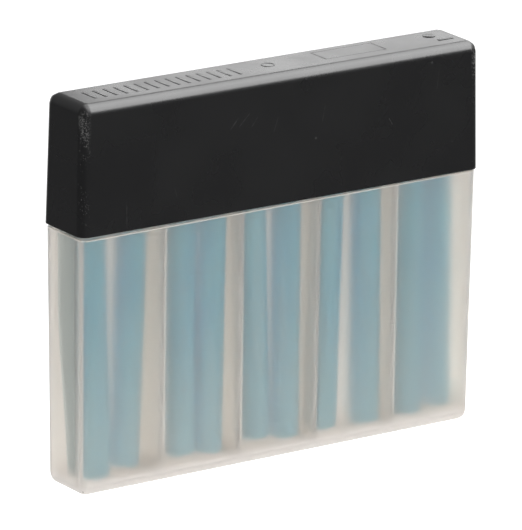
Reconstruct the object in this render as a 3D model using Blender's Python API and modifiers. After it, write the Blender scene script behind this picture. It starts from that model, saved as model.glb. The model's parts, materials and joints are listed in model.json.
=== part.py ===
"""Flat slip-lid case that stores ten cleaning sticks in five pockets.

Units in this file are millimetres until the MM factor turns them into metres.
Frame: origin at the centre of the underside, +X along the width, +Y to the
back, +Z up. The front of the case faces -Y.
"""
import bpy
import bmesh
from math import radians, tan
from mathutils import Vector

MM = 0.001
GAP = 0.3                     # clearance between separate pieces
CUT_MARGIN = 5.0              # how far a joined or cutting block runs past the surface it meets

# Case body: a shallow box with four dividers and a stepped-in neck
BODY_WIDTH = 140.0            # outside, at the shoulder
BODY_DEPTH = 20.2
SHOULDER_Z = 78.2
BODY_DRAFT = radians(0.58)    # each side narrows downwards by this angle
BODY_CORNER = 2.4
BODY_FOOT_ROUND = 3.0
FLOOR_Z = 2.6                 # top of the floor inside the pockets
WALL = 1.8                    # wall thickness at the shoulder
POCKET_DRAFT = radians(0.3)
POCKET_ROUND = 1.0
DIVIDER_PITCH = 27.4
DIVIDER_THICKNESS = 1.2
DIVIDER_TOP_Z = 92.0
MOUTH_STEP = 0.15             # the mouth above the dividers is this much wider a side
POCKET_COUNT = 5
NECK_TOP_Z = 96.0

# Cap: slips over the neck and stops just above the shoulder
CAP_WIDTH = 141.2             # outside, at the rim
CAP_DEPTH = 21.3
CAP_RIM_Z = 78.9
CAP_TOP_Z = 118.0
CAP_DRAFT = radians(0.95)     # each side narrows upwards by this angle
CAP_WALL = 1.0
CAP_ROOF = 1.5
CAP_CORNER = 3.0
CAP_TOP_ROUND = 3.2
CAP_INNER_CORNER = 2.0
CAP_INNER_TOP_ROUND = 1.0

# Sticks: plain round bars, longer than the neck is high so they can be gripped
STICK_RADIUS = 4.5
STICK_END_ROUND = 0.7
STICK_SIDES = 32

# One row per stick, left to right: x at the floor, x at the shoulder, then how
# far the stick stands back from the front wall at the floor and at the
# shoulder, then its length. Each stick leans a little differently.
STICKS = (
    (-61.2, -62.7, 0.0, 1.2, 104.5),
    (-50.7, -48.3, 0.8, 1.2, 103.2),
    (-31.3, -31.9, 0.4, 0.6, 105.0),
    (-21.9, -21.4, 0.0, 0.0, 104.0),
    (-4.9, -7.5, 0.0, 0.0, 103.6),
    (5.6, 5.3, 0.0, 0.3, 104.8),
    (19.0, 20.4, 0.0, 0.0, 103.0),
    (35.0, 33.9, 0.3, 0.3, 104.4),
    (50.9, 50.5, 1.5, 0.8, 104.9),
    (62.8, 62.6, 3.0, 4.5, 103.8),
)

FROSTED = ("frosted_plastic", (0.78, 0.75, 0.70), 0.45)
BLACK = ("black_plastic", (0.018, 0.018, 0.019), 0.28)
SOAP = ("blue_soap", (0.22, 0.38, 0.43), 0.55)


def body_half(side, z):
    """Half of the case's outer width or depth at height z."""
    return side / 2 - (SHOULDER_Z - z) * tan(BODY_DRAFT)


def pocket_half(side, z):
    """Half of the room inside the walls at height z."""
    return side / 2 - WALL - (SHOULDER_Z - z) * tan(POCKET_DRAFT)


def cap_half(side, z):
    """Half of the cap's outer width or depth at height z."""
    return side / 2 - (z - CAP_RIM_Z) * tan(CAP_DRAFT)


def neck_half(side, z):
    """Half of the neck's outer size: a sliding fit inside the cap."""
    return cap_half(side, z) - CAP_WALL - GAP


def make_collection(name):
    collection = bpy.data.collections.new(name)
    bpy.context.scene.collection.children.link(collection)
    return collection


def make_material(finish):
    name, colour, roughness = finish
    material = bpy.data.materials.new(name)
    material.use_nodes = True
    shader = material.node_tree.nodes["Principled BSDF"]
    shader.inputs["Base Color"].default_value = (*colour, 1.0)
    shader.inputs["Roughness"].default_value = roughness
    shader.inputs["Metallic"].default_value = 0.0
    return material


def add_object(name, mesh_source, collection):
    """Turn a bmesh into a named object in the collection."""
    mesh = bpy.data.meshes.new(name)
    mesh_source.to_mesh(mesh)
    mesh_source.free()
    obj = bpy.data.objects.new(name, mesh)
    collection.objects.link(obj)
    return obj


def tapered_block(name, half_size, z_low, z_high, rounds, collection, segments=4):
    """Box whose half sizes follow half_size(z), with its edges rounded.

    rounds holds the radius of the upright edges, of the low edges and of the
    high edges; a radius of zero leaves those edges sharp.
    """
    upright, low, high = rounds
    widest = max(rounds)
    block = bmesh.new()
    bmesh.ops.create_cube(block, size=2.0)
    for vert in block.verts:
        z = z_high if vert.co.z > 0 else z_low
        half_x, half_y = half_size(z)
        vert.co = Vector((vert.co.x * half_x, vert.co.y * half_y, z)) * MM
    middle = (z_low + z_high) / 2 * MM
    weight = block.edges.layers.float.new("bevel_weight_edge")
    for edge in block.edges:
        ends = [vert.co.z > middle for vert in edge.verts]
        if all(ends):
            radius = high
        elif any(ends):
            radius = upright
        else:
            radius = low
        edge[weight] = radius / widest
    obj = add_object(name, block, collection)
    bevel = obj.modifiers.new("rounded_edges", "BEVEL")
    bevel.limit_method = "WEIGHT"
    bevel.width = widest * MM
    bevel.segments = segments
    return obj


def combine(target, tool, operation):
    """Cut the tool out of the target, or join it on."""
    boolean = target.modifiers.new(tool.name, "BOOLEAN")
    boolean.operation = operation
    boolean.object = tool
    tool.hide_render = True
    tool.display_type = "WIRE"


def smooth_by_angle(obj, angle):
    obj.data.shade_smooth()
    obj.data.set_sharp_from_angle(angle=angle)


def make_case_body(parts, cutters):
    """Outer shell, neck, and the five pockets cut out between the dividers."""
    body = tapered_block(
        "case_body",
        lambda z: (body_half(BODY_WIDTH, z), body_half(BODY_DEPTH, z)),
        0.0, SHOULDER_Z, (BODY_CORNER, BODY_FOOT_ROUND, 0.0), parts)
    neck = tapered_block(
        "neck_block",
        lambda z: (neck_half(CAP_WIDTH, z), neck_half(CAP_DEPTH, z)),
        SHOULDER_Z - CUT_MARGIN, NECK_TOP_Z, (CAP_INNER_CORNER - GAP, 0.0, 0.0), cutters, segments=3)
    combine(body, neck, "UNION")

    above = NECK_TOP_Z + CUT_MARGIN
    mouth = tapered_block(
        "mouth_cutter",
        lambda z: (pocket_half(BODY_WIDTH, z) + MOUTH_STEP, pocket_half(BODY_DEPTH, z) + MOUTH_STEP),
        DIVIDER_TOP_Z, above, (POCKET_ROUND, 0.0, 0.0), cutters, segments=3)
    combine(body, mouth, "DIFFERENCE")

    for index in range(POCKET_COUNT):
        pocket = make_pocket(index, above, cutters)
        combine(body, pocket, "DIFFERENCE")
    smooth_by_angle(body, radians(30))
    return body


def make_pocket(index, above, cutters):
    """Cutter for one pocket, between two dividers or a divider and an end."""
    first = index == 0
    last = index == POCKET_COUNT - 1
    middle = (index - (POCKET_COUNT - 1) / 2) * DIVIDER_PITCH
    divider_face = DIVIDER_PITCH / 2 - DIVIDER_THICKNESS / 2

    def left_x(z):
        return -pocket_half(BODY_WIDTH, z) if first else middle - divider_face

    def right_x(z):
        return pocket_half(BODY_WIDTH, z) if last else middle + divider_face

    pocket = tapered_block(
        f"pocket_cutter_{index + 1}",
        lambda z: ((right_x(z) - left_x(z)) / 2, pocket_half(BODY_DEPTH, z)),
        FLOOR_Z, above, (POCKET_ROUND, POCKET_ROUND, 0.0), cutters, segments=3)
    for vert in pocket.data.vertices:
        z = vert.co.z / MM
        vert.co.x += (right_x(z) + left_x(z)) / 2 * MM
    return pocket


def make_cap(parts, cutters):
    """Open-bottomed shell with a flat top and rounded upper edges."""
    cap = tapered_block(
        "cap",
        lambda z: (cap_half(CAP_WIDTH, z), cap_half(CAP_DEPTH, z)),
        CAP_RIM_Z, CAP_TOP_Z, (CAP_CORNER, 0.0, CAP_TOP_ROUND), parts, segments=5)
    hollow = tapered_block(
        "cap_cutter",
        lambda z: (cap_half(CAP_WIDTH, z) - CAP_WALL, cap_half(CAP_DEPTH, z) - CAP_WALL),
        CAP_RIM_Z - CUT_MARGIN, CAP_TOP_Z - CAP_ROOF, (CAP_INNER_CORNER, 0.0, CAP_INNER_TOP_ROUND),
        cutters, segments=3)
    combine(cap, hollow, "DIFFERENCE")
    smooth_by_angle(cap, radians(30))
    return cap


def stick_line(x_floor, x_shoulder, back_floor, back_shoulder):
    """Foot of a stick's centre line, and its direction."""
    foot_z = FLOOR_Z + 2 * GAP
    ends = []
    for x, back, z in ((x_floor, back_floor, foot_z), (x_shoulder, back_shoulder, SHOULDER_Z)):
        y = -pocket_half(BODY_DEPTH, z) + GAP + STICK_RADIUS + back
        ends.append(Vector((x, y, z)))
    foot, shoulder = ends
    return foot, (shoulder - foot).normalized()


def make_stick(number, row, parts):
    """Round bar with softened ends, standing on its foot along its own lean."""
    foot, direction = stick_line(*row[:4])
    length = row[4]
    bar = bmesh.new()
    bmesh.ops.create_cone(
        bar, cap_ends=True, segments=STICK_SIDES,
        radius1=STICK_RADIUS * MM, radius2=STICK_RADIUS * MM, depth=length * MM)
    bmesh.ops.translate(bar, verts=bar.verts, vec=(0, 0, length / 2 * MM))
    stick = add_object(f"stick_{number:02d}", bar, parts)
    bevel = stick.modifiers.new("softened_ends", "BEVEL")
    bevel.width = STICK_END_ROUND * MM
    bevel.segments = 2
    bevel.limit_method = "ANGLE"
    bevel.angle_limit = radians(60)
    stick.location = foot * MM
    stick.rotation_euler = direction.to_track_quat("Z", "Y").to_euler()
    smooth_by_angle(stick, radians(40))
    return stick


def main():
    for obj in list(bpy.data.objects):
        bpy.data.objects.remove(obj)
    parts = make_collection("stick_case")
    cutters = make_collection("cutters")

    make_case_body(parts, cutters).data.materials.append(make_material(FROSTED))
    make_cap(parts, cutters).data.materials.append(make_material(BLACK))
    soap = make_material(SOAP)
    for number, row in enumerate(STICKS, start=1):
        make_stick(number, row, parts).data.materials.append(soap)


main()
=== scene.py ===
"""Looks of the flat slip-lid case: frosted body, black cap, ten blue sticks.

Distances are in metres. MM turns the small moulding sizes into metres.
"""
import json
from math import cos, pi, radians, sin, tan

import bmesh
import bpy
from mathutils import Matrix, Quaternion, Vector, noise


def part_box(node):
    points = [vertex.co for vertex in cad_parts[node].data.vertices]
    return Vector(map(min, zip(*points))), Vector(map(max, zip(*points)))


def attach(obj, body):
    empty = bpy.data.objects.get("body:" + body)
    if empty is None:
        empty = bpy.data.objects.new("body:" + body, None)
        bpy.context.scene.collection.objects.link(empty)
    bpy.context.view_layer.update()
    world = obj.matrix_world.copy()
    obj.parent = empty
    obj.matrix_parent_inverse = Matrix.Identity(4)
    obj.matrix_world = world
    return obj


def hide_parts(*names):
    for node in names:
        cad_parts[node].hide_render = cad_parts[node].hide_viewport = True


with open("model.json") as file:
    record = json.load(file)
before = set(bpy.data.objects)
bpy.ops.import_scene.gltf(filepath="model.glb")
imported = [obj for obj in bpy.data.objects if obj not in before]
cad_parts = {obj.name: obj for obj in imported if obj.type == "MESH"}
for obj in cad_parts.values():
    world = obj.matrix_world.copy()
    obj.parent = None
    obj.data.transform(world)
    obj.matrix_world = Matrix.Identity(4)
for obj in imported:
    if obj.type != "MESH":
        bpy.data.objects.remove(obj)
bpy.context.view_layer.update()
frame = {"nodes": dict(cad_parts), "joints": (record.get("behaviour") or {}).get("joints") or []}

MM = 0.001

# Places read from the frame
CASE_LOW, CASE_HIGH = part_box("case_body")
CAP_LOW, CAP_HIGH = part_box("cap")
STICK_NAMES = sorted(name for name in frame["nodes"] if name.startswith("stick_"))

# Moulding sizes that a box can't give, the same as in the CAD
SHOULDER_Z = 78.2 * MM
FLOOR_Z = 2.6 * MM
DIVIDER_TOP_Z = 92.0 * MM
BODY_DRAFT = radians(0.58)
POCKET_DRAFT = radians(0.3)
CAP_DRAFT = radians(0.95)
WALL = 1.8 * MM
CAP_WALL = 1.0 * MM
CAP_ROOF = 1.5 * MM
GAP = 0.3 * MM
MOUTH_STEP = 0.15 * MM            # the mouth above the dividers is this much wider a side
DIVIDER_PITCH = 27.4 * MM
DIVIDER_THICKNESS = 1.2 * MM
POCKET_COUNT = 5
CUT_MARGIN = 5.0 * MM             # how far a joined or cutting block runs past the surface it meets
BODY_CORNER = 2.4 * MM
BODY_FOOT_ROUND = 3.0 * MM
NECK_CORNER = 1.7 * MM
POCKET_ROUND = 1.0 * MM
CAP_CORNER = 3.0 * MM
CAP_TOP_ROUND = 3.2 * MM
CAP_INNER_CORNER = 2.0 * MM
CAP_INNER_TOP_ROUND = 1.0 * MM
STICK_RADIUS = 4.5 * MM

# Finer shapes than the CAD has
POCKET_CORNER = 0.5 * MM
SHOULDER_EASE = 0.35 * MM         # small rounds along the shoulder and along the neck's top
NECK_EASE = 0.2 * MM
CAP_SEAT_TILT = radians(0.24)     # the slip lid sits a hair high at its left end

CASE_SIZE = CASE_HIGH - CASE_LOW
CAP_SIZE = CAP_HIGH - CAP_LOW
OBJECT_MIDDLE = Vector((0.0, 0.0, CAP_HIGH.z / 2))

# Raised marks on the cap's roof
RIB_COUNT = 15
RIB_PITCH = 3.6 * MM
RIB_FIRST_X = -61.5 * MM
MARK_SUNK = 0.4 * MM              # how far each raised mark reaches into the roof
GATE_RING_RADIUS = 1.9 * MM
GATE_RING_SECTION = 0.22 * MM     # radius of the ring's own round section

# Sticks
STICK_RINGS = 120
STICK_SIDES = 48
STICK_SKIN = 0.12 * MM            # how far the worn skin may stand above the nominal radius
STICK_TOP_ROUND = 0.9 * MM
CHIPPED_LENGTH = 7.0 * MM         # how far up the bar a chipped foot reaches
# sticks that get a painted shadow on the back wall behind them
SHADOWING_STICKS = ("stick_02", "stick_06", "stick_08")

# The foot of each bar in mm: how much has crumbled off, how much more of it on
# the right than on the left, how ragged the break is, and how rounded its rim.
FEET = (
    (0.0, 0.2, 0.3, 2.2),
    (1.9, 0.5, 0.9, 1.2),
    (1.4, 0.6, 1.2, 1.0),
    (1.0, 0.7, 1.4, 1.0),
    (2.3, 0.3, 0.5, 2.2),
    (0.6, 0.3, 0.5, 2.4),
    (1.3, 0.8, 0.5, 2.2),
    (0.4, 0.5, 0.6, 1.0),
    (0.3, 0.3, 0.5, 1.0),
    (0.4, 0.3, 0.6, 1.0),
)

# Fine scratches on the cap's front: middle x and z in mm, length in mm,
# lean from upright in degrees, and how pale each is.
SCRATCHES = (
    (-55.0, 84.0, 9.0, 0.5, 0.10),
    (-17.5, 105.6, 5.0, -42.0, 0.22),
    (-14.0, 106.2, 6.0, -46.0, 0.20),
    (-10.5, 105.0, 4.0, -38.0, 0.16),
    (-3.0, 103.0, 5.5, -20.0, 0.12),
    (14.0, 104.0, 6.0, -12.0, 0.14),
    (38.0, 98.0, 3.0, 30.0, 0.12),
    (-38.0, 88.0, 4.0, 15.0, 0.12),
    (55.0, 108.0, 7.0, -8.0, 0.12),
)

# Studio
DOME_RADIUS = 9.0
VIEW_FORWARD = (0.543, 0.788, -0.291)     # the way the camera looks

# Colours, as linear red, green, blue and alpha
CREAM = (0.84, 0.785, 0.735, 1.0)
CREAM_COOL = (0.825, 0.785, 0.735, 1.0)
POCKET_CREAM = (0.845, 0.822, 0.778, 1.0)
MILKY_CREAM = (0.86, 0.81, 0.765, 1.0)
# painted highlight: pale line along the shoulder's rim
HIGHLIGHT_CREAM = (0.78, 0.73, 0.67, 1.0)
# painted shade: darker line under the cap's rim
SHADED_CREAM = (0.50, 0.51, 0.49, 1.0)
# painted shade: grey-green band where the first stick shades the left end wall
SHADE_GREY_GREEN = (0.47, 0.50, 0.475, 1.0)
# painted shadow of sticks on the back wall
SHADOW_GREY = (0.46, 0.49, 0.49, 1.0)
BLACK = (0.0105, 0.0105, 0.011, 1.0)
SCUFFED_BLACK = (0.15, 0.15, 0.148, 1.0)
SOAP_DEEP = (0.050, 0.540, 0.835, 1.0)
SOAP_PALE = (0.120, 0.648, 0.895, 1.0)
SOAP_WORN = (0.33, 0.63, 0.80, 1.0)
# paler blue that each bar takes towards its foot
SOAP_LOW_PALE = (0.46, 0.78, 0.92, 1.0)
SOAP_DRIED = (0.32, 0.54, 0.65, 1.0)
SOAP_PORE = (0.46, 0.74, 0.92, 1.0)
FLOOR_DARK = (0.38, 0.38, 0.38, 1.0)
FLOOR_LIGHT = (0.42, 0.42, 0.42, 1.0)
WHITE = (1.0, 1.0, 1.0, 1.0)


# ---------------------------------------------------------------- node helpers

def new_material(name):
    material = bpy.data.materials.new(name)
    material.use_nodes = True
    tree = material.node_tree
    return material, tree, tree.nodes["Principled BSDF"]


def add_node(tree, kind, settings=None, **inputs):
    """New shader node. An input is a value or another node's output socket."""
    node = tree.nodes.new(kind)
    for key, value in (settings or {}).items():
        setattr(node, key, value)
    for key, value in inputs.items():
        plug(tree, node.inputs[key.replace("_", " ")], value)
    return node


def plug(tree, socket, value):
    if isinstance(value, bpy.types.NodeSocket):
        tree.links.new(value, socket)
    else:
        socket.default_value = value


def calc(tree, operation, *values, clamp=False):
    """Math node. Returns its output socket."""
    node = tree.nodes.new("ShaderNodeMath")
    node.operation = operation
    node.use_clamp = clamp
    for socket, value in zip(node.inputs, values):
        plug(tree, socket, value)
    return node.outputs[0]


def chain(tree, operation, first, *others):
    """The same math operation from value to value, such as a product of many."""
    result = first
    for value in others:
        result = calc(tree, operation, result, value)
    return result


def ramp(tree, value, low, high, out_low=0.0, out_high=1.0):
    """Smooth step of value from low to high."""
    node = add_node(tree, "ShaderNodeMapRange", {"interpolation_type": "SMOOTHSTEP"},
                    Value=value, From_Min=low, From_Max=high, To_Min=out_low, To_Max=out_high)
    return node.outputs["Result"]


def mix_colour(tree, factor, first, second):
    node = add_node(tree, "ShaderNodeMix", {"data_type": "RGBA"})
    plug(tree, node.inputs["Factor"], factor)
    plug(tree, node.inputs[6], first)
    plug(tree, node.inputs[7], second)
    return node.outputs[2]


def mix_value(tree, factor, first, second):
    node = add_node(tree, "ShaderNodeMix", Factor=factor, A=first, B=second)
    return node.outputs["Result"]


def object_point(tree, stretch=(1.0, 1.0, 1.0)):
    """The piece's own coordinates, scaled along each axis."""
    point = add_node(tree, "ShaderNodeTexCoord").outputs["Object"]
    mapping = add_node(tree, "ShaderNodeMapping", Vector=point, Scale=stretch)
    return mapping.outputs["Vector"]


def separate(tree, vector):
    """The x, y and z of a vector as three sockets."""
    node = add_node(tree, "ShaderNodeSeparateXYZ", Vector=vector)
    return node.outputs["X"], node.outputs["Y"], node.outputs["Z"]


def depths_from_sides(tree, half_x, half_y, widest_z, draft):
    """How far in a point lies from the ends and from the faces of a tapered box.

    The half sizes are those at widest_z. A positive draft narrows the box
    downwards and a negative one upwards.
    """
    x, y, z = separate(tree, object_point(tree))
    inset = calc(tree, "MULTIPLY", calc(tree, "SUBTRACT", widest_z, z), tan(draft))
    depths = []
    for half, along in ((half_x, x), (half_y, y)):
        side = calc(tree, "SUBTRACT", half, inset)
        depths.append(calc(tree, "SUBTRACT", side, calc(tree, "ABSOLUTE", along)))
    return depths


def depths_in_case(tree):
    return depths_from_sides(tree, CASE_SIZE.x / 2, CASE_SIZE.y / 2, SHOULDER_Z, BODY_DRAFT)


def noise_value(tree, vector, scale, detail=2.0, roughness=0.5):
    node = add_node(tree, "ShaderNodeTexNoise", Vector=vector, Scale=scale,
                    Detail=detail, Roughness=roughness)
    return node.outputs["Fac"]


def bump(tree, height, distance, strength, normal=None):
    node = add_node(tree, "ShaderNodeBump", Height=height, Distance=distance, Strength=strength)
    if normal is not None:
        tree.links.new(normal, node.inputs["Normal"])
    return node.outputs["Normal"]


# ------------------------------------------------------------------- materials

def frosted_plastic():
    """Milky moulded plastic: light goes through and is scattered on the way."""
    material, tree, shader = new_material("frosted_plastic")
    flow = noise_value(tree, object_point(tree, (1.0, 1.0, 0.06)), 160.0, 3.0)
    cloud = noise_value(tree, object_point(tree), 22.0, 2.0)
    grain = noise_value(tree, object_point(tree), 2600.0, 2.0)
    inside = inside_mask(tree)
    end_wall_shade = end_wall_shade_mask(tree)
    back_shadow = back_wall_shadow_mask(tree)
    milky = milky_mask(tree)
    neck = neck_shade_mask(tree)
    shoulder_highlight = shoulder_highlight_mask(tree)

    tint = calc(tree, "ADD", calc(tree, "MULTIPLY", flow, 0.5), calc(tree, "MULTIPLY", cloud, 0.5))
    colour = mix_colour(tree, ramp(tree, tint, 0.35, 0.65), CREAM, CREAM_COOL)
    colour = mix_colour(tree, inside, colour, POCKET_CREAM)
    # painted shade on the left end wall beside the first stick
    colour = mix_colour(tree, end_wall_shade, colour, SHADE_GREY_GREEN)
    # painted shadow of some sticks on the back wall
    colour = mix_colour(tree, back_shadow, colour, SHADOW_GREY)
    colour = mix_colour(tree, milky, colour, MILKY_CREAM)
    # painted shade along the foot of the neck, under the cap
    colour = mix_colour(tree, neck, colour, SHADED_CREAM)
    # painted highlight along the shoulder's rim
    colour = mix_colour(tree, shoulder_highlight, colour, HIGHLIGHT_CREAM)
    plug(tree, shader.inputs["Base Color"], colour)

    textured = ramp(tree, flow, 0.3, 0.7, 0.40, 0.48)
    roughness = mix_value(tree, inside, textured, 0.26)
    dull_edge = calc(tree, "MULTIPLY", shoulder_highlight, 0.8)
    plug(tree, shader.inputs["Roughness"], calc(tree, "MAXIMUM", roughness, dull_edge))

    skin = mix_value(tree, milky, 0.885, 0.55)
    skin = mix_value(tree, shoulder_highlight, skin, 0.20)
    skin = mix_value(tree, neck, skin, 0.35)
    polished = ramp(tree, beside_dividers(tree), 0.0, 1.0, 0.90, 0.62)
    clarity = mix_value(tree, inside, skin, polished)
    clarity = mix_value(tree, end_wall_shade, clarity, 0.55)
    plug(tree, shader.inputs["Transmission Weight"], clarity)

    relief = calc(tree, "ADD", calc(tree, "MULTIPLY", grain, 0.3), flow)
    plug(tree, shader.inputs["Normal"], bump(tree, relief, 0.00004, 0.5))
    shader.inputs["IOR"].default_value = 1.45
    shader.inputs["Specular IOR Level"].default_value = 0.45
    return material


def milky_mask(tree):
    """Where the plastic looks milkier: the foot, the right corners and a strip
    beside each left corner."""
    x, _, z = separate(tree, object_point(tree))
    from_end, from_face = depths_in_case(tree)
    rounding = ramp(tree, calc(tree, "ADD", from_end, from_face), 1.2 * MM, 2.2 * MM, 0.9, 0.0)
    right_corner = calc(tree, "MULTIPLY", rounding, ramp(tree, x, 0.0, CASE_SIZE.x / 2))
    left_strip = chain(tree, "MULTIPLY",
                       ramp(tree, from_face, 0.2 * MM, 0.9 * MM),
                       ramp(tree, from_face, 2.4 * MM, 3.6 * MM, 0.5, 0.0),
                       ramp(tree, from_end, 0.8 * MM, 1.2 * MM, 1.0, 0.0))
    foot = ramp(tree, z, 2.4 * MM, 7.0 * MM, 1.0, 0.0)
    return chain(tree, "MAXIMUM", right_corner, left_strip, foot)


def shoulder_highlight_mask(tree):
    """Painted highlight: thin pale line along the rim of the shoulder, where its small round catches the
    light.
    """
    _, _, z = separate(tree, object_point(tree))
    nearest = calc(tree, "MINIMUM", *depths_in_case(tree))
    at_rim = ramp(tree, z, SHOULDER_Z - 0.5 * MM, SHOULDER_Z - 0.3 * MM)
    return calc(tree, "MULTIPLY", at_rim, ramp(tree, nearest, 0.4 * MM, 0.5 * MM, 1.0, 0.0))


def neck_shade_mask(tree):
    """Painted shade: thin darker line round the foot of the neck, under the cap's rim, where the cap shades
    it.
    """
    _, _, z = separate(tree, object_point(tree))
    nearest = calc(tree, "MINIMUM", *depths_in_case(tree))
    return chain(tree, "MULTIPLY",
                 ramp(tree, z, SHOULDER_Z + 0.05 * MM, SHOULDER_Z + 0.15 * MM),
                 ramp(tree, z, SHOULDER_Z + 1.2 * MM, SHOULDER_Z + 2.0 * MM, 1.0, 0.0),
                 ramp(tree, nearest, 2.4 * MM, 2.7 * MM, 1.0, 0.0))


def beside_dividers(tree):
    """Cloudy strip on the wall along the left of each divider's root."""
    x, _, _ = separate(tree, object_point(tree))
    first = -(POCKET_COUNT / 2 - 1) * DIVIDER_PITCH
    past_first = calc(tree, "SUBTRACT", x, first - DIVIDER_THICKNESS / 2)
    along = calc(tree, "FLOORED_MODULO", past_first, DIVIDER_PITCH)
    starts = ramp(tree, along, DIVIDER_PITCH - 3.2 * MM, DIVIDER_PITCH - 1.4 * MM)
    return calc(tree, "MULTIPLY", starts, calc(tree, "LESS_THAN", along, DIVIDER_PITCH - 0.05 * MM))


def end_wall_shade_mask(tree):
    """Painted shade: grey-green band on the left end wall, where the first stick shades the wall and tints
    it with its colour.
    """
    x, y, z = separate(tree, object_point(tree))
    streaks = noise_value(tree, object_point(tree, (1.0, 1.0, 0.2)), 260.0, 3.0)
    edge = calc(tree, "ADD", ramp(tree, z, 2 * MM, 58 * MM, -1.9 * MM, 2.7 * MM),
                calc(tree, "MULTIPLY", streaks, 0.6 * MM))
    past_edge = calc(tree, "SUBTRACT", y, edge)
    return chain(tree, "MULTIPLY",
                 ramp(tree, x, CASE_LOW.x + 3.2 * MM, CASE_LOW.x + 2.6 * MM),
                 ramp(tree, y, CASE_LOW.y + 3.4 * MM, CASE_LOW.y + 5.2 * MM),
                 ramp(tree, past_edge, -0.5 * MM, 0.5 * MM, 1.0, 0.0),
                 ramp(tree, z, FLOOR_Z, 3.5 * FLOOR_Z))


def back_wall_shadow_mask(tree):
    """Painted shadow: darker strips on the back wall straight behind some sticks, where they shade it."""
    x, y, z = separate(tree, object_point(tree))
    back = ramp(tree, y, CASE_HIGH.y - 4.0 * MM, CASE_HIGH.y - 3.0 * MM)
    stick_shadows = []
    for name in SHADOWING_STICKS:
        base, axis, _ = stick_frame(name)
        slope = axis.x / axis.z
        middle = calc(tree, "MULTIPLY_ADD", z, slope, base.x - slope * base.z)
        off = calc(tree, "ABSOLUTE", calc(tree, "SUBTRACT", x, middle))
        stick_shadows.append(ramp(tree, off, 1.0 * MM, 3.6 * MM, 0.85, 0.0))
    return calc(tree, "MULTIPLY", chain(tree, "MAXIMUM", *stick_shadows), back)


def inside_mask(tree):
    """1 on the polished pocket walls and dividers, 0 on the textured outside."""
    _, _, z = separate(tree, object_point(tree))
    from_end, from_face = depths_in_case(tree)
    return chain(tree, "MULTIPLY",
                 calc(tree, "GREATER_THAN", z, FLOOR_Z / 2),
                 calc(tree, "LESS_THAN", z, SHOULDER_Z),
                 calc(tree, "GREATER_THAN", from_end, WALL / 2),
                 calc(tree, "GREATER_THAN", from_face, WALL / 2))


def black_plastic():
    """Half-gloss black moulding with scuffs on its upright edges and fine scratches."""
    material, tree, shader = new_material("black_plastic")
    point = object_point(tree)
    marks = chain(tree, "MAXIMUM", edge_wear(tree, point), scratch_mask(tree, point), dust_mask(tree, point))
    plug(tree, shader.inputs["Base Color"], mix_colour(tree, marks, BLACK, SCUFFED_BLACK))
    haze = noise_value(tree, point, 55.0, 3.0)
    gloss = ramp(tree, haze, 0.3, 0.7, 0.25, 0.31)
    plug(tree, shader.inputs["Roughness"], calc(tree, "ADD", gloss, calc(tree, "MULTIPLY", marks, 0.3)))
    waves = noise_value(tree, point, 16.0, 1.0)
    grain = noise_value(tree, point, 3200.0, 2.0)
    wavy = bump(tree, waves, 0.0006, 0.12)
    plug(tree, shader.inputs["Normal"], bump(tree, grain, 0.00001, 0.25, wavy))
    shader.inputs["IOR"].default_value = 1.5
    return material


def edge_wear(tree, point):
    """Pale scuffs that sit on the cap's upright corners, thickest near the top."""
    _, _, z = separate(tree, point)
    from_end, from_face = depths_from_sides(tree, CAP_HIGH.x, CAP_HIGH.y, CAP_LOW.z, -CAP_DRAFT)
    corner = ramp(tree, calc(tree, "ADD", from_end, from_face), 1.2 * MM, 3.2 * MM, 1.0, 0.0)
    high = ramp(tree, z, CAP_HIGH.z - 20 * MM, CAP_HIGH.z - 4 * MM, 0.0, 0.16)
    flecks = noise_value(tree, point, 2300.0, 2.0, 0.6)
    patches = noise_value(tree, point, 260.0, 2.0)
    crowd = chain(tree, "ADD", flecks, high, calc(tree, "MULTIPLY", patches, 0.35))
    return calc(tree, "MULTIPLY", corner, ramp(tree, crowd, 0.84, 0.94), clamp=True)


def scratch_mask(tree, point):
    """Hairline marks on the front face, each fading at its ends."""
    x, y, z = separate(tree, point)
    front = ramp(tree, y, -8.0 * MM, -9.5 * MM)
    breaks = noise_value(tree, point, 700.0, 1.0)
    lines = []
    for middle_x, middle_z, length, lean, strength in SCRATCHES:
        angle = radians(lean)
        dx = calc(tree, "SUBTRACT", x, middle_x * MM)
        dz = calc(tree, "SUBTRACT", z, middle_z * MM)
        across = calc(tree, "ADD", calc(tree, "MULTIPLY", dx, cos(angle)),
                      calc(tree, "MULTIPLY", dz, sin(angle)))
        along = calc(tree, "SUBTRACT", calc(tree, "MULTIPLY", dz, cos(angle)),
                     calc(tree, "MULTIPLY", dx, sin(angle)))
        thin = ramp(tree, calc(tree, "ABSOLUTE", across), 0.05 * MM, 0.16 * MM, strength, 0.0)
        ends = ramp(tree, calc(tree, "ABSOLUTE", along), length * 0.3 * MM, length * 0.5 * MM, 1.0, 0.0)
        lines.append(calc(tree, "MULTIPLY", thin, ends))
    worn = ramp(tree, breaks, 0.35, 0.55, 0.4, 1.0)
    return chain(tree, "MULTIPLY", chain(tree, "MAXIMUM", *lines), worn, front)


def dust_mask(tree, point):
    """A few pale specks a fraction of a millimetre across."""
    cells = add_node(tree, "ShaderNodeTexVoronoi", Vector=point, Scale=170.0)
    speck = ramp(tree, cells.outputs["Distance"], 0.03, 0.08, 0.30, 0.0)
    chance, _, _ = separate(tree, cells.outputs["Color"])
    return calc(tree, "MULTIPLY", speck, ramp(tree, chance, 0.86, 0.90))


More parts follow.
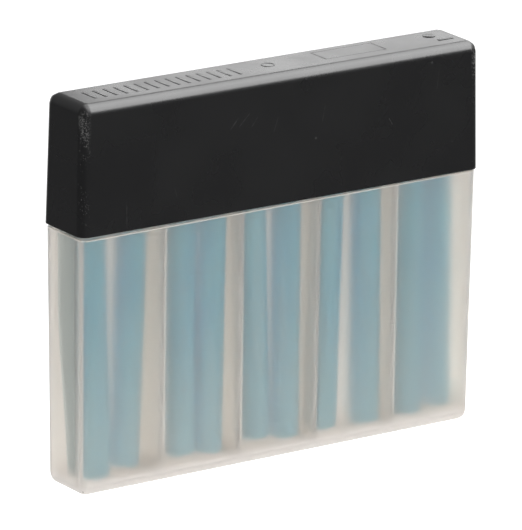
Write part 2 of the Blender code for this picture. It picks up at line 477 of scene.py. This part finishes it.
def blue_soap():
    """Pressed blue soap: faint streaks along the bar, chalky specks, soft sheen."""
    material, tree, shader = new_material("blue_soap")
    streaks = noise_value(tree, object_point(tree, (1.0, 1.0, 0.05)), 420.0, 3.0)
    mottle = noise_value(tree, object_point(tree), 90.0, 4.0)
    pores = noise_value(tree, object_point(tree), 1500.0, 3.0, 0.6)
    worn = noise_value(tree, object_point(tree, (1.0, 1.0, 0.12)), 190.0, 2.0)
    _, _, z = separate(tree, object_point(tree))
    shade = calc(tree, "ADD", calc(tree, "MULTIPLY", streaks, 0.6), calc(tree, "MULTIPLY", mottle, 0.4))
    colour = mix_colour(tree, ramp(tree, shade, 0.40, 0.60), SOAP_DEEP, SOAP_PALE)
    colour = mix_colour(tree, ramp(tree, worn, 0.50, 0.72, 0.0, 0.5), colour, SOAP_WORN)
    # paler towards the foot of the bar, fading out by 60 mm up
    paler_below = ramp(tree, z, 4 * MM, 60 * MM, 0.6, 0.0)
    colour = mix_colour(tree, paler_below, colour, SOAP_LOW_PALE)
    dried = ramp(tree, z, SHOULDER_Z, CASE_HIGH.z, 0.0, 0.8)
    colour = mix_colour(tree, dried, colour, SOAP_DRIED)
    colour = mix_colour(tree, ramp(tree, pores, 0.62, 0.75, 0.0, 0.35), colour, SOAP_PORE)
    plug(tree, shader.inputs["Base Color"], colour)
    plug(tree, shader.inputs["Roughness"], ramp(tree, mottle, 0.3, 0.7, 0.50, 0.68))
    relief = calc(tree, "ADD", calc(tree, "MULTIPLY", pores, 0.5), streaks)
    plug(tree, shader.inputs["Normal"], bump(tree, relief, 0.00012, 0.5))
    return material


def floor_paint():
    """Pale, faintly glowing studio floor with a barely visible mottle."""
    material, tree, shader = new_material("studio_floor")
    soft = noise_value(tree, object_point(tree), 3.0, 2.0)
    plug(tree, shader.inputs["Base Color"], mix_colour(tree, soft, FLOOR_DARK, FLOOR_LIGHT))
    shader.inputs["Roughness"].default_value = 0.9
    shader.inputs["Emission Color"].default_value = WHITE
    away = add_node(tree, "ShaderNodeVectorMath", {"operation": "LENGTH"})
    plug(tree, away.inputs[0], object_point(tree, (0.5, 1.0, 1.0)))
    glow = ramp(tree, away.outputs["Value"], 0.03, 0.20, 1.25, 0.70)
    plug(tree, shader.inputs["Emission Strength"], glow)
    return material


# ------------------------------------------------------------- geometry helpers

def add_object(name, source):
    """Turn a bmesh into an object in the scene."""
    mesh = bpy.data.meshes.new(name)
    source.to_mesh(mesh)
    source.free()
    obj = bpy.data.objects.new(name, mesh)
    bpy.context.scene.collection.objects.link(obj)
    return obj


def tapered_block(name, half_size, z_low, z_high, rounds, segments):
    """Box whose half sizes follow half_size(z), with its edges rounded.

    rounds holds the radius of the upright edges, of the low edges and of the
    high edges.
    """
    upright, low, high = rounds
    widest = max(rounds)
    block = bmesh.new()
    bmesh.ops.create_cube(block, size=2.0)
    for vert in block.verts:
        z = z_high if vert.co.z > 0 else z_low
        half_x, half_y = half_size(z)
        vert.co = Vector((vert.co.x * half_x, vert.co.y * half_y, z))
    middle = (z_low + z_high) / 2
    weight = block.edges.layers.float.new("bevel_weight_edge")
    for edge in block.edges:
        ends = [vert.co.z > middle for vert in edge.verts]
        if all(ends):
            radius = high
        elif any(ends):
            radius = upright
        else:
            radius = low
        edge[weight] = radius / widest
    obj = add_object(name, block)
    bevel = obj.modifiers.new("rounded_edges", "BEVEL")
    bevel.limit_method = "WEIGHT"
    bevel.width = widest
    bevel.segments = segments
    return obj


def ease_top(obj, radius):
    """Small round along the flat top's rim, made after the larger rounds."""
    bevel = obj.modifiers.new("eased_top", "BEVEL")
    bevel.limit_method = "ANGLE"
    bevel.angle_limit = radians(60)
    bevel.width = radius
    bevel.segments = 4


def combine(target, tools, operation):
    """Cut the tools out of the target, or join them on."""
    for tool in tools:
        boolean = target.modifiers.new(tool.name, "BOOLEAN")
        boolean.operation = operation
        boolean.object = tool


def settle(obj, tools=()):
    """Apply every modifier and remove the tools that shaped the object."""
    bpy.context.view_layer.update()
    evaluated = obj.evaluated_get(bpy.context.evaluated_depsgraph_get())
    mesh = bpy.data.meshes.new_from_object(evaluated)
    old = obj.data
    obj.modifiers.clear()
    obj.data = mesh
    bpy.data.meshes.remove(old)
    for tool in tools:
        bpy.data.objects.remove(tool)


def shade_moulding(obj):
    """Smooth fillets with flat faces kept flat."""
    obj.data.shade_smooth()
    obj.data.set_sharp_from_angle(angle=radians(35))
    keep_flat = obj.modifiers.new("flat_faces", "WEIGHTED_NORMAL")
    keep_flat.keep_sharp = True
    keep_flat.weight = 100


def finish_piece(obj, material, body, replaced=None):
    obj.data.materials.clear()
    obj.data.materials.append(material)
    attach(obj, body)
    if replaced:
        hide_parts(replaced)


# ------------------------------------------------------------------------ case

def case_half(side, z):
    """Half of the case's outer width or depth at height z."""
    return side / 2 - (SHOULDER_Z - z) * tan(BODY_DRAFT)


def pocket_half(side, z):
    """Half of the room inside the walls at height z."""
    return side / 2 - WALL - (SHOULDER_Z - z) * tan(POCKET_DRAFT)


def cap_half(side, z):
    """Half of the cap's outer width or depth at height z."""
    return side / 2 - (z - CAP_LOW.z) * tan(CAP_DRAFT)


def make_case(material):
    """Frosted body with its neck, shoulder and five pockets."""
    case = tapered_block(
        "frosted_case", lambda z: (case_half(CASE_SIZE.x, z), case_half(CASE_SIZE.y, z)),
        CASE_LOW.z, SHOULDER_Z, (BODY_CORNER, BODY_FOOT_ROUND, 0.0), 8)
    ease_top(case, SHOULDER_EASE)
    inset = CAP_WALL + GAP
    neck = tapered_block(
        "neck", lambda z: (cap_half(CAP_SIZE.x, z) - inset, cap_half(CAP_SIZE.y, z) - inset),
        SHOULDER_Z - CUT_MARGIN, CASE_HIGH.z, (NECK_CORNER, 0.0, 0.0), 6)
    ease_top(neck, NECK_EASE)
    combine(case, [neck], "UNION")
    above = CASE_HIGH.z + CUT_MARGIN
    mouth = tapered_block(
        "mouth", lambda z: (pocket_half(CASE_SIZE.x, z) + MOUTH_STEP,
                            pocket_half(CASE_SIZE.y, z) + MOUTH_STEP),
        DIVIDER_TOP_Z, above, (POCKET_ROUND, 0.0, 0.0), 5)
    pockets = [make_pocket(index, above) for index in range(POCKET_COUNT)]
    combine(case, [mouth, *pockets], "DIFFERENCE")
    settle(case, [neck, mouth, *pockets])
    shade_moulding(case)
    finish_piece(case, material, "case", "case_body")


def make_pocket(index, above):
    """Cutter for one pocket, between two dividers or a divider and an end."""
    middle = (index - (POCKET_COUNT - 1) / 2) * DIVIDER_PITCH
    reach = (DIVIDER_PITCH - DIVIDER_THICKNESS) / 2

    def left_x(z):
        return -pocket_half(CASE_SIZE.x, z) if index == 0 else middle - reach

    def right_x(z):
        return pocket_half(CASE_SIZE.x, z) if index == POCKET_COUNT - 1 else middle + reach

    pocket = tapered_block(
        f"pocket_{index}", lambda z: ((right_x(z) - left_x(z)) / 2, pocket_half(CASE_SIZE.y, z)),
        FLOOR_Z, above, (POCKET_CORNER, POCKET_ROUND, 0.0), 5)
    for vert in pocket.data.vertices:
        vert.co.x += (right_x(vert.co.z) + left_x(vert.co.z)) / 2
    return pocket


# ------------------------------------------------------------------------- cap

def make_cap(material):
    """Black slip-over cap with a hollow underside."""
    cap = tapered_block(
        "black_cap", lambda z: (cap_half(CAP_SIZE.x, z), cap_half(CAP_SIZE.y, z)),
        CAP_LOW.z, CAP_HIGH.z, (CAP_CORNER, 0.0, CAP_TOP_ROUND), 10)
    hollow = tapered_block(
        "hollow", lambda z: (cap_half(CAP_SIZE.x, z) - CAP_WALL, cap_half(CAP_SIZE.y, z) - CAP_WALL),
        CAP_LOW.z - CUT_MARGIN, CAP_HIGH.z - CAP_ROOF, (CAP_INNER_CORNER, 0.0, CAP_INNER_TOP_ROUND), 5)
    combine(cap, [hollow], "DIFFERENCE")
    settle(cap, [hollow])
    seat_on_neck(cap)
    shade_moulding(cap)
    finish_piece(cap, material, "cap", "cap")


def seat_on_neck(obj):
    """Tilt a piece of the cap by the hair that it sits high at its left end."""
    seat = Vector((0.0, 0.0, CAP_LOW.z))
    turn = Matrix.Rotation(CAP_SEAT_TILT, 4, "Y")
    obj.data.transform(Matrix.Translation(seat) @ turn @ Matrix.Translation(-seat))


def add_bar(marks, x, y, width, depth, height):
    """Raised bar on the roof, centred at x and y."""
    size = Matrix.Diagonal((width, depth, height + MARK_SUNK, 1.0))
    place = Matrix.Translation((x, y, CAP_HIGH.z + (height - MARK_SUNK) / 2))
    bmesh.ops.create_cube(marks, size=1.0, matrix=place @ size)


def add_boss(marks, x, y, radius, height):
    """Raised round pad on the roof."""
    place = Matrix.Translation((x, y, CAP_HIGH.z + (height - MARK_SUNK) / 2))
    bmesh.ops.create_cone(marks, cap_ends=True, segments=40, radius1=radius, radius2=radius,
                          depth=height + MARK_SUNK, matrix=place)


def make_cap_marks(material):
    """Plain grip ribs, a round pad with a bar, and the outline of a mould insert."""
    marks = bmesh.new()
    for index in range(RIB_COUNT):
        add_bar(marks, RIB_FIRST_X + index * RIB_PITCH, -0.2 * MM, 0.9 * MM, 7.2 * MM, 0.07 * MM)
    add_boss(marks, 60.4 * MM, 2.6 * MM, 1.9 * MM, 0.14 * MM)
    add_bar(marks, 62.6 * MM, -2.8 * MM, 5.2 * MM, 1.1 * MM, 0.14 * MM)
    for x in (19.5 * MM, 41.0 * MM):
        add_bar(marks, x, 1.0 * MM, 0.25 * MM, 8.0 * MM, 0.06 * MM)
    for y in (-3.0 * MM, 5.0 * MM):
        add_bar(marks, 30.25 * MM, y, 21.5 * MM, 0.2 * MM, 0.04 * MM)
    piece = add_object("cap_marks", marks)
    soften = piece.modifiers.new("soft_edges", "BEVEL")
    soften.width = 0.04 * MM
    soften.segments = 2
    soften.limit_method = "ANGLE"
    settle(piece)
    seat_on_neck(piece)
    piece.data.shade_smooth()
    piece.data.set_sharp_from_angle(angle=radians(50))
    finish_piece(piece, material, "cap")


def make_gate_ring(material):
    """Thin raised ring that the mould's gate leaves near the middle of the roof."""
    bpy.ops.mesh.primitive_torus_add(
        major_radius=GATE_RING_RADIUS, minor_radius=GATE_RING_SECTION,
        major_segments=48, minor_segments=12,
        location=(1.2 * MM, 0.6 * MM, CAP_HIGH.z - 0.10 * MM))
    ring = bpy.context.object
    ring.name = "gate_ring"
    ring.data.transform(Matrix.Translation(ring.location))
    ring.location = (0.0, 0.0, 0.0)
    seat_on_neck(ring)
    ring.data.shade_smooth()
    finish_piece(ring, material, "cap")


# ---------------------------------------------------------------------- sticks

def stick_frame(name):
    """Foot of the bar's centre line, its unit direction and its length."""
    axis = next(Vector(joint["axis"]) for joint in frame["joints"] if joint["child"] == name)
    axis.normalize()
    points = [vert.co for vert in frame["nodes"][name].data.vertices]
    centre = sum(points, Vector()) / len(points)
    heights = [(point - centre).dot(axis) for point in points]
    return centre + axis * min(heights), axis, max(heights) - min(heights)


def stick_radius(along, length, foot_round, angle, seed):
    """Radius of the bar at a height and angle: softened ends and a worn skin."""
    radius = STICK_RADIUS + STICK_SKIN
    for from_end, soft in ((along, foot_round), (length - along, STICK_TOP_ROUND)):
        if from_end < soft:
            radius -= soft - (soft * soft - (soft - from_end) ** 2) ** 0.5
    skin = noise.noise(Vector((cos(angle) * 1.3, sin(angle) * 1.3, along * 45 + seed * 7.1)))
    dents = noise.noise(Vector((cos(angle) * 3.0, sin(angle) * 3.0, along * 260 + seed * 3.3)))
    return radius - (0.10 + 0.10 * skin + 0.05 * dents) * MM


def foot_rise(along, foot, angle, seed):
    """How far the crumbled foot lifts the surface there."""
    crumbled, slant, ragged, _ = foot
    share = max(0.0, 1.0 - along / CHIPPED_LENGTH)
    coarse = noise.noise(Vector((cos(angle) * 1.1, sin(angle) * 1.1, seed * 5.7)))
    fine = noise.noise(Vector((cos(angle) * 3.5, sin(angle) * 3.5, seed * 2.3)))
    rise = crumbled + slant * (1 + cos(angle)) / 2 + ragged * (0.6 + 0.7 * coarse + 0.5 * fine)
    return share * max(rise, 0.0) * MM


def stick_heights(length):
    """Heights of the rings: close together at both ends."""
    near_end = [value * MM for value in (0.0, 0.04, 0.12, 0.25, 0.45, 0.7, 1.0, 1.4)]
    middle = length - 2 * near_end[-1]
    heights = near_end + [near_end[-1] + middle * step / STICK_RINGS for step in range(1, STICK_RINGS)]
    return heights + [length - value for value in reversed(near_end)]


def make_stick(name, material, seed):
    """Pressed bar whose foot has crumbled a little."""
    base, axis, length = stick_frame(name)
    foot = FEET[seed - 1]
    turn = axis.to_track_quat("Z", "Y")
    bar = bmesh.new()
    rings = []
    for along in stick_heights(length):
        ring = []
        for side in range(STICK_SIDES):
            angle = 2 * pi * side / STICK_SIDES
            radius = stick_radius(along, length, foot[3] * MM, angle, seed)
            height = along + foot_rise(along, foot, angle, seed)
            local = Vector((radius * cos(angle), radius * sin(angle), height))
            ring.append(bar.verts.new(base + turn @ local))
        rings.append(ring)
    for lower, upper in zip(rings, rings[1:]):
        for side in range(STICK_SIDES):
            after = (side + 1) % STICK_SIDES
            bar.faces.new((lower[side], lower[after], upper[after], upper[side]))
    close_end(bar, rings[0], True)
    close_end(bar, rings[-1], False)
    stick = add_object(f"{name}_bar", bar)
    stick.data.shade_smooth()
    stick.data.set_sharp_from_angle(angle=radians(60))
    finish_piece(stick, material, name, name)


def close_end(bar, ring, downwards):
    """Fan of rings that closes the end of a bar towards its centre."""
    middle = sum((vert.co for vert in ring), Vector()) / len(ring)
    previous = ring
    for share in (0.75, 0.45):
        inner = [bar.verts.new(middle + (vert.co - middle) * share) for vert in ring]
        join_rings(bar, previous, inner, downwards)
        previous = inner
    tip = bar.verts.new(middle)
    for side in range(len(ring)):
        after = (side + 1) % len(ring)
        corner = (previous[side], previous[after], tip)
        bar.faces.new(tuple(reversed(corner)) if downwards else corner)


def join_rings(bar, outer, inner, downwards):
    """Faces between two rings that have the same number of corners."""
    for side in range(len(outer)):
        after = (side + 1) % len(outer)
        quad = (outer[side], outer[after], inner[after], inner[side])
        bar.faces.new(tuple(reversed(quad)) if downwards else quad)


# ---------------------------------------------------------------------- studio

def make_camera():
    """Long lens, a little above and to the left of the case's front."""
    aim = Vector((-0.00069, -0.00011, 0.05742))
    azimuth, elevation, roll = radians(-34.58), radians(16.95), radians(0.69)
    distance = 2.27
    back = Vector((sin(azimuth) * cos(elevation), -cos(azimuth) * cos(elevation), sin(elevation)))
    data = bpy.data.cameras.new("camera")
    data.lens = 524.4
    data.sensor_width = 36.0
    camera = bpy.data.objects.new("camera", data)
    camera.location = aim + back * distance
    camera.rotation_mode = "QUATERNION"
    camera.rotation_quaternion = back.to_track_quat("Z", "Y") @ Quaternion((0, 0, 1), roll)
    bpy.context.scene.collection.objects.link(camera)
    bpy.context.scene.camera = camera


def softbox(name, place, long_way, width, length, radiance):
    """Rectangular lamp facing the object, its long side along long_way."""
    data = bpy.data.lights.new(name, "AREA")
    data.shape = "RECTANGLE"
    data.size = width
    data.size_y = length
    data.energy = radiance * width * length * pi
    lamp = bpy.data.objects.new(name, data)
    away = (Vector(place) - OBJECT_MIDDLE).normalized()
    across = Vector(long_way).cross(away).normalized()
    turn = Matrix((across, away.cross(across), away)).transposed()
    lamp.matrix_world = Matrix.Translation(place) @ turn.to_4x4()
    lamp.visible_camera = False
    lamp.visible_transmission = False
    bpy.context.scene.collection.objects.link(lamp)


def make_world():
    """White light tent: even light from every side."""
    world = bpy.data.worlds.new("light_tent")
    world.use_nodes = True
    background = world.node_tree.nodes["Background"]
    background.inputs["Color"].default_value = WHITE
    background.inputs["Strength"].default_value = 0.85
    world.cycles_visibility.glossy = False
    bpy.context.scene.world = world


def make_reflection_dome():
    """Room that only glossy surfaces mirror: dim walls, a white sheet, a light strip."""
    bpy.ops.mesh.primitive_uv_sphere_add(radius=DOME_RADIUS, segments=48, ring_count=24)
    dome = bpy.context.object
    dome.name = "reflection_dome"
    dome.data.shade_smooth()
    material, tree, shader = new_material("reflection_dome")
    direction = object_point(tree, (1 / DOME_RADIUS,) * 3)
    x, y, z = separate(tree, direction)
    walls = calc(tree, "MULTIPLY", ramp(tree, z, -0.1, 0.15, 0.11, 0.34),
                 ramp(tree, x, -0.72, -0.45, 0.35, 1.0))

    behind = add_node(tree, "ShaderNodeVectorMath", {"operation": "DOT_PRODUCT"})
    plug(tree, behind.inputs[0], direction)
    plug(tree, behind.inputs[1], VIEW_FORWARD)
    near_table = ramp(tree, z, 0.0, 0.18, 0.9, 0.0)
    sheet = calc(tree, "MULTIPLY", ramp(tree, behind.outputs["Value"], 0.70, 0.86), near_table)

    around = calc(tree, "ARCTAN2", z, y)
    strip = chain(tree, "MULTIPLY",
                  ramp(tree, around, radians(44), radians(52)),
                  ramp(tree, around, radians(148), radians(158), 1.0, 0.0),
                  ramp(tree, x, VIEW_FORWARD[0] - 0.70, VIEW_FORWARD[0] - 0.04),
                  ramp(tree, x, 0.76, 0.88, 1.0, 0.0),
                  ramp(tree, around, radians(50), radians(105), 4.0, 8.6))

    shader.inputs["Base Color"].default_value = (0.0, 0.0, 0.0, 1.0)
    shader.inputs["Specular IOR Level"].default_value = 0.0
    shader.inputs["Emission Color"].default_value = WHITE
    plug(tree, shader.inputs["Emission Strength"], chain(tree, "ADD", walls, sheet, strip))
    dome.data.materials.append(material)
    dome.visible_camera = False
    dome.visible_diffuse = False
    dome.visible_transmission = False
    dome.visible_volume_scatter = False
    dome.visible_shadow = False


def make_floor():
    """Pale floor a hair below the case's flat underside."""
    bpy.ops.mesh.primitive_plane_add(size=12.0, location=(0, 0, -0.0002))
    floor = bpy.context.object
    floor.name = "floor"
    floor.data.materials.append(floor_paint())
    floor.visible_glossy = False


def make_studio():
    """Light tent, mirrored room, floor and one soft panel from the back right."""
    make_world()
    make_reflection_dome()
    make_floor()
    softbox("back_panel", (0.31, 0.31, 0.25), (0.0, 0.0, 1.0), 0.30, 0.13, 2.2)
    scene = bpy.context.scene
    scene.view_settings.view_transform = "Standard"
    scene.cycles.max_bounces = 28           # light runs along inside the dividers
    scene.cycles.glossy_bounces = 20
    scene.cycles.transmission_bounces = 28


def main():
    make_camera()
    make_studio()
    make_case(frosted_plastic())
    black = black_plastic()
    make_cap(black)
    make_cap_marks(black)
    make_gate_ring(black)
    soap = blue_soap()
    for seed, name in enumerate(STICK_NAMES, start=1):
        make_stick(name, soap, seed)


main()
